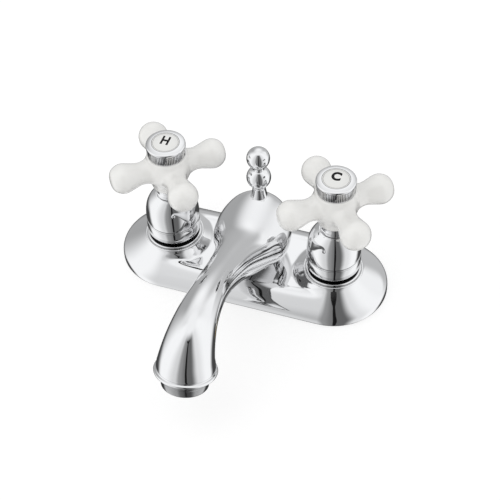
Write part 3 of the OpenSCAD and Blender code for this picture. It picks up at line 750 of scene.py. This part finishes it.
class FAUCET_OT_spout(bpy.types.Operator):
    """Shapes the spout: rings along its length, bridged, from the rounded body to the outlet"""
    bl_idname = "faucet.spout"
    bl_label = "Spout"

    def execute(self, context):
        sizes = context.scene.faucet_sizes
        tilt = math.degrees(sizes.outlet_tilt)
        reach, rise = sizes.outlet_reach / MM, sizes.outlet_height / MM
        outlet = [(-reach + up * math.sin(sizes.outlet_tilt), rise + up * math.cos(sizes.outlet_tilt),
                   tilt - 90, r, r, r) for up, r in OUTLET_RINGS]
        neck = [(y, z, slope, r, r, r) for y, z, slope, r in NECK_SECTIONS]
        sections = flowing(BODY_SECTIONS + neck + outlet[:2], 4)[:-4] + outlet[1:]
        start()
        for i, section in enumerate(sections):
            self.add_ring(i, *section)
        spout = bpy.context.object
        for i in range(len(sections) - 1):
            pick(spout, numbers=slice(i * SPOUT_SIDES, (i + 2) * SPOUT_SIDES))
            bpy.ops.mesh.bridge_edge_loops()
        # Both ends close: the back of the body, and the floor of the outlet's pocket
        for first in (0, (len(sections) - 1) * SPOUT_SIDES):
            pick(spout, numbers=slice(first, first + SPOUT_SIDES))
            bpy.ops.mesh.edge_face_add()
            bpy.ops.mesh.poke()
        bpy.ops.mesh.select_all(action="SELECT")
        bpy.ops.mesh.normals_make_consistent(inside=False)
        bpy.ops.mesh.bisect(plane_co=(0, 0, sizes.cover_height), plane_no=UP, clear_inner=True,
                            use_fill=True)
        start()
        seat = turned("rod_seat", ROD_SEAT_OUTLINE, foot=Vector((0, sizes.rod_y, 0)), sides=64)
        join(spout, seat)
        settle(spout, "faucet_spout", angle=38)
        dress(spout, "faucet_body", "chrome", "polished_chrome", "spout")
        return {"FINISHED"}

    def add_ring(self, i, y, z, slope, wide, up, down):
        """Adds one upright ring, stretches its halves, and leans it by the slope."""
        middle = mm(0, y, z)
        if i > 0:
            bpy.ops.mesh.select_all(action="DESELECT")
        bpy.ops.mesh.primitive_circle_add(vertices=SPOUT_SIDES, radius=wide * MM, location=middle,
                                          rotation=(math.pi / 2, 0, 0))
        spout = bpy.context.object
        if i == 0:
            apply_place(spout)
            edit()
        ring, hair = slice(i * SPOUT_SIDES, (i + 1) * SPOUT_SIDES), 0.001
        if max(abs(up - wide), abs(down - wide)) > hair:
            pick(spout, lambda p: p.z > middle.z + hair * MM, ring)
            resize(1, 1, up / wide, middle)
            pick(spout, lambda p: p.z < middle.z - hair * MM, ring)
            resize(1, 1, down / wide, middle)
        pick(spout, numbers=ring)
        if abs(slope) > hair:
            bpy.ops.transform.rotate(value=math.radians(slope), orient_axis="X",
                                     center_override=middle)


class FAUCET_OT_aerator(bpy.types.Operator):
    """Turns the housing of the aerator, tilted as the outlet is"""
    bl_idname = "faucet.aerator"
    bl_label = "Aerator"

    def execute(self, context):
        sizes = context.scene.faucet_sizes
        foot = Vector((0, -sizes.outlet_reach, sizes.outlet_height))
        axis = Vector((0, math.sin(sizes.outlet_tilt), math.cos(sizes.outlet_tilt)))
        housing = turned("aerator_shell", AERATOR_OUTLINE, foot=foot, axis=axis)
        apply_modifier(housing, "SOLIDIFY", "wall", thickness=AERATOR_WALL * MM, offset=-1)
        settle(housing, "aerator_shell")
        dress(housing, "faucet_body", "chrome", "satin_chrome", "aerator_housing")
        return {"FINISHED"}


class FAUCET_OT_bells(bpy.types.Operator):
    """Turns one bell escutcheon and copies it to the other handle axis"""
    bl_idname = "faucet.bells"
    bl_label = "Bells"

    def execute(self, context):
        foot = foot_of("hot")
        bell = turned("hot_bell_shell", flowing(BELL_OUTLINE, 4), foot=foot, sides=128)
        # Painted shade at the bell's foot and in its grooves
        paint_crease_shade(bell, foot, BELL_PAINTED_SHADES)
        dress_both(bell, "faucet_body", "chrome", "polished_chrome", "{}_bell")
        return {"FINISHED"}


class FAUCET_OT_cross_handles(bpy.types.Operator):
    """Shapes one porcelain cross from four turned arms and a hub, and copies it"""
    bl_idname = "faucet.cross_handles"
    bl_label = "Porcelain crosses"

    def execute(self, context):
        sizes = context.scene.faucet_sizes
        middle = foot_of("hot") + Vector((0, 0, sizes.arm_height))
        arms = []
        for k in range(4):
            angle = sizes.arm_angle + k * math.pi / 2
            arms.append(turned(f"arm_{k}", flowing(ARM_OUTLINE, 3), foot=middle,
                               axis=(math.cos(angle), math.sin(angle), 0), sides=48))
        hub = turned("hub", flowing(HUB_OUTLINE, 3), foot=foot_of("hot"), sides=64)
        cross = join(hub, *arms)
        apply_modifier(cross, "REMESH", "one_skin", mode="VOXEL", voxel_size=sizes.voxel)
        valleys = cross.vertex_groups.new(name="valleys")
        for vertex in cross.data.vertices:
            out = vertex.co - middle
            turn = (math.atan2(out.y, out.x) - sizes.arm_angle) % (math.pi / 2)
            between = 1 - abs(turn - math.pi / 4) / (math.pi / 4)
            near = (VALLEY_REACH * MM - math.hypot(out.x, out.y)) / (VALLEY_REACH_FADE * MM)
            level = (VALLEY_HEIGHT * MM - abs(out.z)) / (VALLEY_HEIGHT_FADE * MM)
            weight = min(1, max(0, near)) * min(1, max(0, level)) * min(1, VALLEY_LEAST + between)
            valleys.add([vertex.index], weight, "REPLACE")
        apply_modifier(cross, "SMOOTH", "fillet", factor=0.6, iterations=45, vertex_group="valleys")
        apply_modifier(cross, "SMOOTH", "glaze", factor=0.5, iterations=6)
        settle(cross, "hot_cross", angle=180)
        dress_both(cross, "{}_handle_assembly", "porcelain", "glazed_porcelain", "{}_handle")
        near_image_only(finish("glazed_porcelain"), IMAGE_REACH * MM)
        # Where the crosses leave no image, what stands inside them leaves none either
        for side in SIDES:
            for inner in ("stem", "handle_screw"):
                bpy.data.objects[f"{side}_{inner}"].visible_glossy = False
        return {"FINISHED"}


class FAUCET_OT_collars(bpy.types.Operator):
    """Turns the chrome collar under one handle and copies it"""
    bl_idname = "faucet.collars"
    bl_label = "Collars"

    def execute(self, context):
        collar = turned("hot_collar", flowing(COLLAR_OUTLINE, 3), foot=foot_of("hot"))
        dress_both(collar, "{}_handle_assembly", "chrome", "polished_chrome", "{}_handle_hub")
        return {"FINISHED"}


class FAUCET_OT_buttons(bpy.types.Operator):
    """Shapes one fluted button with its bevelled rim, and copies it"""
    bl_idname = "faucet.buttons"
    bl_label = "Buttons"

    def execute(self, context):
        sizes = context.scene.faucet_sizes
        foot = foot_of("hot")
        radius = sizes.button_radius / MM
        count = sizes.button_flutes * 4
        height, inside = BUTTON_FOOT
        spread = radius - inside
        start()
        bpy.ops.mesh.primitive_circle_add(vertices=count, radius=spread * MM,
                                          location=foot + mm(0, 0, height))
        band = bpy.context.object
        apply_place(band)
        edit()
        for level, inside in BUTTON_RINGS:
            wide = radius - inside
            push(0, level - height)
            resize(wide / spread, wide / spread, 1, foot)
            height, spread = level, wide

        # Every other pair of uprights goes in, which leaves the flutes
        turn = 2 * math.pi / count

        def in_flute(p):
            step = round(math.atan2(p.y, p.x + sizes.handle_x) / turn)
            return step % 4 >= 2 and FLUTE_LOW * MM < p.z < FLUTE_HIGH * MM
        pick(band, in_flute)
        resize(FLUTE_SHARE, FLUTE_SHARE, 1, foot)
        start()
        # The flutes are painted with shade half as dark as in a crease, as the rings of painted shade lie
        # just inside them
        shade_radius = FLUTE_SHARE * radius - FLUTE_SHADE_INSET
        paint_crease_shade(band, foot, [(shade_radius, z, FLUTE_SHADE_WIDTH) for z in FLUTE_SHADES])
        rim = [(radius - inside, z) for z, inside in CAP_RIM]
        cap = turned("cap", flowing(rim + CAP_HOLE, 3), foot=foot, sides=128)
        # Painted shade in the gap round the index disc
        paint_crease_shade(cap, foot, CAP_PAINTED_SHADES)
        button = settle(join(band, cap), "hot_button_cap", angle=32)
        dress_both(button, "{}_handle_assembly", "chrome", "polished_chrome", "{}_button")
        return {"FINISHED"}


class FAUCET_OT_index_plates(bpy.types.Operator):
    """Turns the index discs with their groove, and letters them H and C"""
    bl_idname = "faucet.index_plates"
    bl_label = "Index discs"

    def execute(self, context):
        foot = foot_of("hot")
        disc = turned("hot_index_disc", flowing(INDEX_OUTLINE, 2), foot=foot)
        # Painted shade in the disc's groove and round its edge
        paint_crease_shade(disc, foot, INDEX_PAINTED_SHADES)
        dress_both(disc, "{}_handle_assembly", "index_white", "index_enamel", "{}_index")
        for side, sign in (("hot", "H"), ("cold", "C")):
            self.letter(context.scene.faucet_sizes, side, sign)
        return {"FINISHED"}

    def letter(self, sizes, side, sign):
        start()
        bpy.ops.object.text_add(location=ORIGIN)
        text = bpy.context.object.data
        width, bold, (across, back) = LETTERS[sign]
        text.body = sign
        text.size = 10 * MM
        text.align_x = "CENTER"
        text.align_y = "CENTER"
        text.extrude = LETTER_THICKNESS * MM
        text.offset = bold * MM
        bpy.ops.object.convert(target="MESH")
        letter = bpy.context.object
        drawn_width, drawn_height = letter.dimensions[:2]
        letter.scale = (width * MM / drawn_width, sizes.letter_height / drawn_height, 1)
        letter.location = foot_of(side) + mm(across, back, LETTER_BASE)
        settle(letter, side + "_index_letter")
        dress(letter, side + "_handle_assembly", "index_white", "letter_paint")


class FAUCET_OT_lift_knob(bpy.types.Operator):
    """Turns the lift knob with its two balls"""
    bl_idname = "faucet.lift_knob"
    bl_label = "Lift knob"

    def execute(self, context):
        low, top = [arc((0, height), *round_it) for height, *round_it in (LOW_BALL, TOP_BALL)]
        crown = [(0, TOP_BALL[0] + TOP_BALL[1])]
        outline = flowing(KNOB_FOOT, 3) + low + KNOB_WAIST + top[:-1] + crown
        foot = Vector((0, context.scene.faucet_sizes.rod_y, 0))
        knob = turned("lift_knob_balls", outline, foot=foot, sides=96)
        dress(knob, "lift_assembly", "chrome", "polished_chrome", "lift_knob")
        # The knob and its rod leave no image on the rounded body in the photograph
        for obj in (knob, bpy.data.objects["lift_rod"]):
            obj.visible_glossy = False
        return {"FINISHED"}


class FAUCET_OT_valve_bodies(bpy.types.Operator):
    """Turns one valve body, winds the thread of its shank, and copies it"""
    bl_idname = "faucet.valve_bodies"
    bl_label = "Valve bodies"

    def execute(self, context):
        foot = foot_of("hot")
        shell = turned("hot_valve_shell", VALVE_OUTLINE, foot=foot, closed=True)
        thread = self.thread(context.scene.faucet_sizes.thread_pitch / MM)
        thread.location = foot
        apply_place(thread)
        shells = {"hot": shell, "cold": cold_copy(shell, "cold_valve_shell")}
        threads = {"hot": thread, "cold": cold_copy(thread, "cold_thread")}
        for side, shell in shells.items():
            boss = turned(side + "_boss", BOSS_OUTLINE, foot=foot_of(side) + mm(0, 0, BOSS_HEIGHT),
                          axis=(-SIDES[side], 0, 0), sides=48)
            join(shell, threads[side], boss)
            settle(shell, side + "_valve_shell", angle=35)
            dress(shell, "faucet_body", "brass", "turned_brass", side + "_valve_body")
        return {"FINISHED"}

    def thread(self, pitch):
        """One turn's tooth, wound up the shank. Both ends run out into the shank."""
        turns = int((THREAD_STOP - SHANK_END) / pitch)
        wire = draw_line([mm(r, 0, THREAD_START + up * pitch) for r, up in TOOTH])
        apply_place(wire)
        apply_modifier(wire, "SCREW", "winding", axis="Z", angle=2 * math.pi, steps=40,
                       render_steps=40, screw_offset=pitch * MM, iterations=turns - 1,
                       use_merge_vertices=True, merge_threshold=MERGE)
        only(wire)
        edit()
        # The upper end runs out sooner, as its steps count from just above the winding
        top = THREAD_START + (turns + 0.5) * pitch - 0.5
        for k in range(1, RUN_OUT_STEPS + 1):
            narrower = 1 - RUN_OUT * k
            reach = pitch * (1 - k / (RUN_OUT_STEPS + 1))
            if pick(wire, lambda p: p.z / MM < THREAD_START + reach or p.z / MM > top - reach):
                resize(narrower, narrower, 1)
        bpy.ops.mesh.select_all(action="SELECT")
        bpy.ops.mesh.normals_make_consistent(inside=False)
        start()
        return wire


class FAUCET_OT_wing_nuts(bpy.types.Operator):
    """Shapes one plastic wing nut with softened edges, and copies it"""
    bl_idname = "faucet.wing_nuts"
    bl_label = "Wing nuts"

    def execute(self, context):
        foot = foot_of("hot")
        sleeve = turned("hot_wing_nut", NUT_OUTLINE, foot=foot, closed=True)
        wings = [self.wing(foot, math.pi / 4 + k * math.pi / 2) for k in range(4)]
        nut = settle(join(sleeve, *wings), "hot_wing_nut", angle=38)
        dress_both(nut, "faucet_body", "white_plastic", "moulded_acetal", "{}_mounting_nut")
        return {"FINISHED"}

    def wing(self, foot, turn):
        start()
        bpy.ops.mesh.primitive_cube_add(size=1 * MM, location=ORIGIN)
        wing = bpy.context.object
        edit()
        bpy.ops.mesh.select_all(action="SELECT")
        resize(*WING_SIZE)
        # The outer end is a little lower and thinner, as it comes out of a mould
        pick(wing, lambda p: p.x > 0)
        resize(*WING_TAPER)
        bpy.ops.mesh.select_all(action="SELECT")
        bpy.ops.mesh.bevel(offset=WING_BEVEL * MM, segments=3, affect="EDGES")
        bpy.ops.transform.translate(value=mm(*WING_PLACE))
        start()
        wing.rotation_euler = (0, 0, turn)
        wing.location = foot
        apply_place(wing)
        return wing


# The finish of each of the solid model's material slots
SLOT_FINISHES = {
    "chrome": "polished_chrome", "porcelain": "glazed_porcelain", "index_white": "index_enamel",
    "brass": "turned_brass", "copper_tube": "drawn_copper", "seal_rubber": "moulded_rubber",
    "gasket_rubber": "sheet_rubber", "screw_steel": "stainless_steel",
    "white_plastic": "moulded_acetal", "grey_plastic": "grey_acetal", "disc_ceramic": "lapped_ceramic"}


class FAUCET_OT_inner_parts(bpy.types.Operator):
    """Finishes the solid model's own parts that stay as they are"""
    bl_idname = "faucet.inner_parts"
    bl_label = "Inner parts"

    def execute(self, context):
        slots = {row["node"]: row["material_slot"] for row in frame["record"]["subparts"]}
        for name, obj in frame["nodes"].items():
            material = finish(SLOT_FINISHES[slots[name]])
            if obj.material_slots:
                for slot in obj.material_slots:
                    slot.material = material
            else:
                obj.data.materials.append(material)
        return {"FINISHED"}


# The stage

PLAIN_WHITE = (1, 1, 1, 1)
# The floor, in metres, its paper, and how much of it glows for the camera, and how strongly
FLOOR_SIZE, FLOOR_DROP, FLOOR_PAPER = 6, 0.0002, (0.95, 0.95, 0.95, 1)
FLOOR_GLOW_SHARE, FLOOR_GLOW = 0.6, 1.12
# The large soft light: its place, what it points at, and its size, in metres
KEY_PLACE, KEY_TARGET, KEY_SIZE = Vector((-0.35, -0.25, 0.75)), Vector((0, -0.02, 0.03)), 0.7
# The camera: its target in millimetres, the lens in pixels of the picture, and the sensor's width
CAMERA_TARGET, LENS_PIXELS, PICTURE_PIXELS, SENSOR_WIDTH = (-1.89, 0, 13.71), 1226.3, 500, 36

# The white tent round the faucet: the share of light that each of its parts sends on
WHITE, DARK_WING, GREY_WING = 1.0, 0.13, 0.19
BACK_RIGHT, BACK, BACK_LEFT, BACK_HIGH, BACK_LOW = 0.52, 0.47, 0.39, 0.82, 0.06
ROOF, BELOW, RIGHT_HIGH, BACK_LAMP, GAP = 0.95, 0.12, 0.95, 1.0, 0.01
# Where the parts stand, by the angle from the camera's side, minus to the left, in degrees. The
# dark wing stands right of the gap where the camera looks in, and the grey one left of it
TENT_SIDES = [
    (-180, BACK), (-152, BACK_LEFT), (-142, BACK_LEFT), (-96, WHITE), (-75, WHITE), (-38, 0.7),
    (-22, 0.3), (-5, GREY_WING), (5, DARK_WING), (19, DARK_WING), (44, 0.8), (75, WHITE), (92, WHITE),
    (130, BACK_RIGHT), (158, BACK_RIGHT), (180, BACK)]
# The soft edges of the other parts: angles in degrees, from where a part is out to where it is full
RIGHT_FRONT_EDGE, RIGHT_BACK_EDGE, RIGHT_FOOT = (84, 104), (142, 116), (4, 14)
BACK_EDGE, BACK_HIGH_EDGE, BACK_LOW_EDGE = (92, 115), (30, 62), (-12, -34)
ROOF_EDGE, BELOW_EDGE = (60, 78), (-58, -74)
# A soft lamp on the back wall: its angle from the camera, its height and half its size
LAMP_ANGLE, LAMP_HEIGHT, LAMP_HALF = 172, 46, 40
# The gap: half its width low down and at its top, where it widens, and its edges
GAP_LOW, GAP_TOP, GAP_WIDENS, GAP_SIDE, GAP_END = 3.6, 15, (58, 63), (0.8, -0.8), (65, 62)


def tone(level):
    """A tone of the tent, very slightly cool."""
    return (level * 0.99, level, level * 1.01, 1)


def soft_step(tree, value, edge, ends=(0, 1)):
    """Passes softly from one end to the other while an angle crosses the edge, in degrees."""
    low, high = map(math.radians, edge)
    return add_node(tree, "ShaderNodeMapRange", {
        "Value": value, "From Min": low, "From Max": high, "To Min": ends[0], "To Max": ends[1]},
        interpolation_type="SMOOTHSTEP").outputs["Result"]


class FAUCET_OT_stage(bpy.types.Operator):
    """Sets the floor, the light and the camera"""
    bl_idname = "faucet.stage"
    bl_label = "Stage"

    def execute(self, context):
        scene = context.scene
        self.floor()
        self.room(scene)
        self.key_light(scene)
        self.camera(scene)
        scene.view_settings.view_transform = "Standard"
        return {"FINISHED"}

    def floor(self):
        start()
        bpy.ops.mesh.primitive_plane_add(size=FLOOR_SIZE, location=(0, 0, -FLOOR_DROP))
        floor = bpy.context.object
        floor.name = "stage_floor"
        floor.visible_glossy = False
        material, tree, paper = new_material("floor_paper")
        feed(tree, paper, {"Base Color": FLOOR_PAPER, "Roughness": 0.9, "Specular IOR Level": 0})
        glow = add_node(tree, "ShaderNodeEmission", {"Strength": FLOOR_GLOW}).outputs[0]
        paths = add_node(tree, "ShaderNodeLightPath").outputs
        glowing = product(tree, paths["Is Camera Ray"], FLOOR_GLOW_SHARE)
        shown = mix_shaders(tree, glowing, paper.outputs[0], glow)
        # From below the floor is clear
        behind = add_node(tree, "ShaderNodeNewGeometry").outputs["Backfacing"]
        clear = add_node(tree, "ShaderNodeBsdfTransparent").outputs[0]
        show(tree, mix_shaders(tree, behind, shown, clear))
        floor.data.materials.append(material)

    def room(self, scene):
        """White for the camera, the tent for what reflects, and even light for the rest."""
        studio = scene.faucet_studio
        world = bpy.data.worlds.new("studio_room")
        scene.world = world
        world.use_nodes = True
        tree = world.node_tree
        soft = tree.nodes["Background"]
        feed(tree, soft, {"Color": PLAIN_WHITE, "Strength": studio.daylight})
        white = add_node(tree, "ShaderNodeBackground", {"Color": PLAIN_WHITE, "Strength": 1.0})
        tent = add_node(tree, "ShaderNodeBackground", {
            "Color": self.tent(tree, studio), "Strength": studio.reflection})
        paths = add_node(tree, "ShaderNodeLightPath").outputs
        shown = mix_shaders(tree, paths["Is Glossy Ray"], soft.outputs[0], tent.outputs[0])
        shown = mix_shaders(tree, paths["Is Camera Ray"], shown, white.outputs[0])
        feed(tree, tree.nodes["World Output"], {"Surface": shown})

    def key_light(self, scene):
        bpy.ops.object.light_add(type="AREA", location=KEY_PLACE)
        key = bpy.context.object
        key.name = "key_softbox"
        key.data.shape = "DISK"
        key.data.size = KEY_SIZE
        key.data.energy = scene.faucet_studio.key
        key.rotation_euler = (KEY_TARGET - key.location).to_track_quat("-Z", "Y").to_euler()
        key.visible_glossy = False

    def tent(self, tree, studio):
        """What the chrome sees: a white tent, open in a dark gap in front of the camera."""
        way = add_node(tree, "ShaderNodeMapping", {
            "Vector": add_node(tree, "ShaderNodeTexCoord").outputs["Generated"],
            "Rotation": (0, 0, -studio.camera_azimuth)}, vector_type="VECTOR").outputs["Vector"]
        x, y, z = add_node(tree, "ShaderNodeSeparateXYZ", {"Vector": way}).outputs
        angle = math_node(tree, "ARCTAN2", x, product(tree, y, -1))
        beside = math_node(tree, "ABSOLUTE", angle)
        rise = math_node(tree, "ARCSINE", z)
        behind = soft_step(tree, beside, BACK_EDGE)

        across, height = math.radians(LAMP_ANGLE), math.radians(LAMP_HEIGHT)
        lamp = (math.sin(across) * math.cos(height), -math.cos(across) * math.cos(height),
                math.sin(height))
        towards = add_node(tree, "ShaderNodeVectorMath", {0: way, 1: lamp}, operation="DOT_PRODUCT")
        from_lamp = math_node(tree, "ARCCOSINE", towards.outputs["Value"])

        gap_half = soft_step(tree, rise, GAP_WIDENS, (math.radians(GAP_LOW), math.radians(GAP_TOP)))
        from_gap = math_node(tree, "SUBTRACT", beside, gap_half)

        # Each part goes over those before it. The right side reaches further back above the table
        # than near it, and the lowest part is the faucet's own shade on what it stands on
        room = self.tent_sides(tree, angle)
        for level, *edges in (
                (RIGHT_HIGH, (angle, RIGHT_FRONT_EDGE), (angle, RIGHT_BACK_EDGE), (rise, RIGHT_FOOT)),
                (BACK_HIGH, behind, (rise, BACK_HIGH_EDGE)),
                (BACK_LOW, behind, (rise, BACK_LOW_EDGE)),
                (BACK_LAMP, (from_lamp, (LAMP_HALF, 0))),
                (GAP, (from_gap, GAP_SIDE), (rise, GAP_END)),
                (ROOF, (rise, ROOF_EDGE)),
                (BELOW, (rise, BELOW_EDGE))):
            steps = [soft_step(tree, *e) if isinstance(e, tuple) else e for e in edges]
            room = mix_colours(tree, product(tree, *steps), room, tone(level))
        return room

    def tent_sides(self, tree, angle):
        """The tent's sides, by the angle from the camera."""
        turn = math_node(tree, "DIVIDE", angle, 2 * math.pi)
        sides = add_node(tree, "ShaderNodeValToRGB", {"Fac": math_node(tree, "ADD", turn, 0.5)})
        ramp = sides.color_ramp
        ramp.interpolation = "EASE"
        for i, (degrees, level) in enumerate(TENT_SIDES):
            place = degrees / 360 + 0.5
            if 0 < i < len(TENT_SIDES) - 1:
                stop = ramp.elements.new(place)
            else:
                stop = ramp.elements[-1 if i else 0]
                stop.position = place
            stop.color = tone(level)
        return sides.outputs["Color"]

    def camera(self, scene):
        studio = scene.faucet_studio
        azimuth, elevation, roll = studio.camera_azimuth, studio.camera_elevation, studio.camera_roll
        back = Vector((math.sin(azimuth) * math.cos(elevation), -math.cos(azimuth) * math.cos(elevation),
                       math.sin(elevation)))
        right = Vector((math.cos(azimuth), math.sin(azimuth), 0))
        up = back.cross(right)
        right, up = (right * math.cos(roll) + up * math.sin(roll),
                     up * math.cos(roll) - right * math.sin(roll))
        start()
        bpy.ops.object.camera_add()
        camera = bpy.context.object
        camera.name = "photo_camera"
        place = mm(*CAMERA_TARGET) + back * studio.camera_distance
        camera.matrix_world = Matrix.Translation(place) @ Matrix((right, up, back)).transposed().to_4x4()
        camera.data.sensor_width = SENSOR_WIDTH
        camera.data.lens = LENS_PIXELS * SENSOR_WIDTH / PICTURE_PIXELS
        camera.data.clip_start = 0.01
        camera.data.clip_end = 50
        scene.camera = camera


class FAUCET_PT_build(bpy.types.Panel):
    """Lists the faucet's building steps"""
    bl_label = "Faucet"
    bl_space_type = "VIEW_3D"
    bl_region_type = "UI"
    bl_category = "Faucet"

    def draw(self, context):
        for step in STEPS:
            self.layout.operator(step.bl_idname)


STEPS = (
    FAUCET_OT_inner_parts, FAUCET_OT_deck_cover, FAUCET_OT_spout, FAUCET_OT_aerator, FAUCET_OT_bells,
    FAUCET_OT_cross_handles, FAUCET_OT_collars, FAUCET_OT_buttons, FAUCET_OT_index_plates,
    FAUCET_OT_lift_knob, FAUCET_OT_valve_bodies, FAUCET_OT_wing_nuts, FAUCET_OT_stage)
CLASSES = (FaucetSizes, FaucetFinishes, FaucetStudio) + STEPS + (FAUCET_PT_build,)


def register():
    for cls in CLASSES:
        bpy.utils.register_class(cls)
    bpy.types.Scene.faucet_sizes = PointerProperty(type=FaucetSizes)
    bpy.types.Scene.faucet_finishes = PointerProperty(type=FaucetFinishes)
    bpy.types.Scene.faucet_studio = PointerProperty(type=FaucetStudio)


def unregister():
    del bpy.types.Scene.faucet_sizes
    del bpy.types.Scene.faucet_finishes
    del bpy.types.Scene.faucet_studio
    for cls in reversed(CLASSES):
        bpy.utils.unregister_class(cls)


def main():
    register()
    for step in STEPS:
        group, action = step.bl_idname.split(".")
        if getattr(getattr(bpy.ops, group), action)() != {"FINISHED"}:
            raise RuntimeError(f"{step.bl_label} was not finished")
    start()


if __name__ == "__main__":
    main()
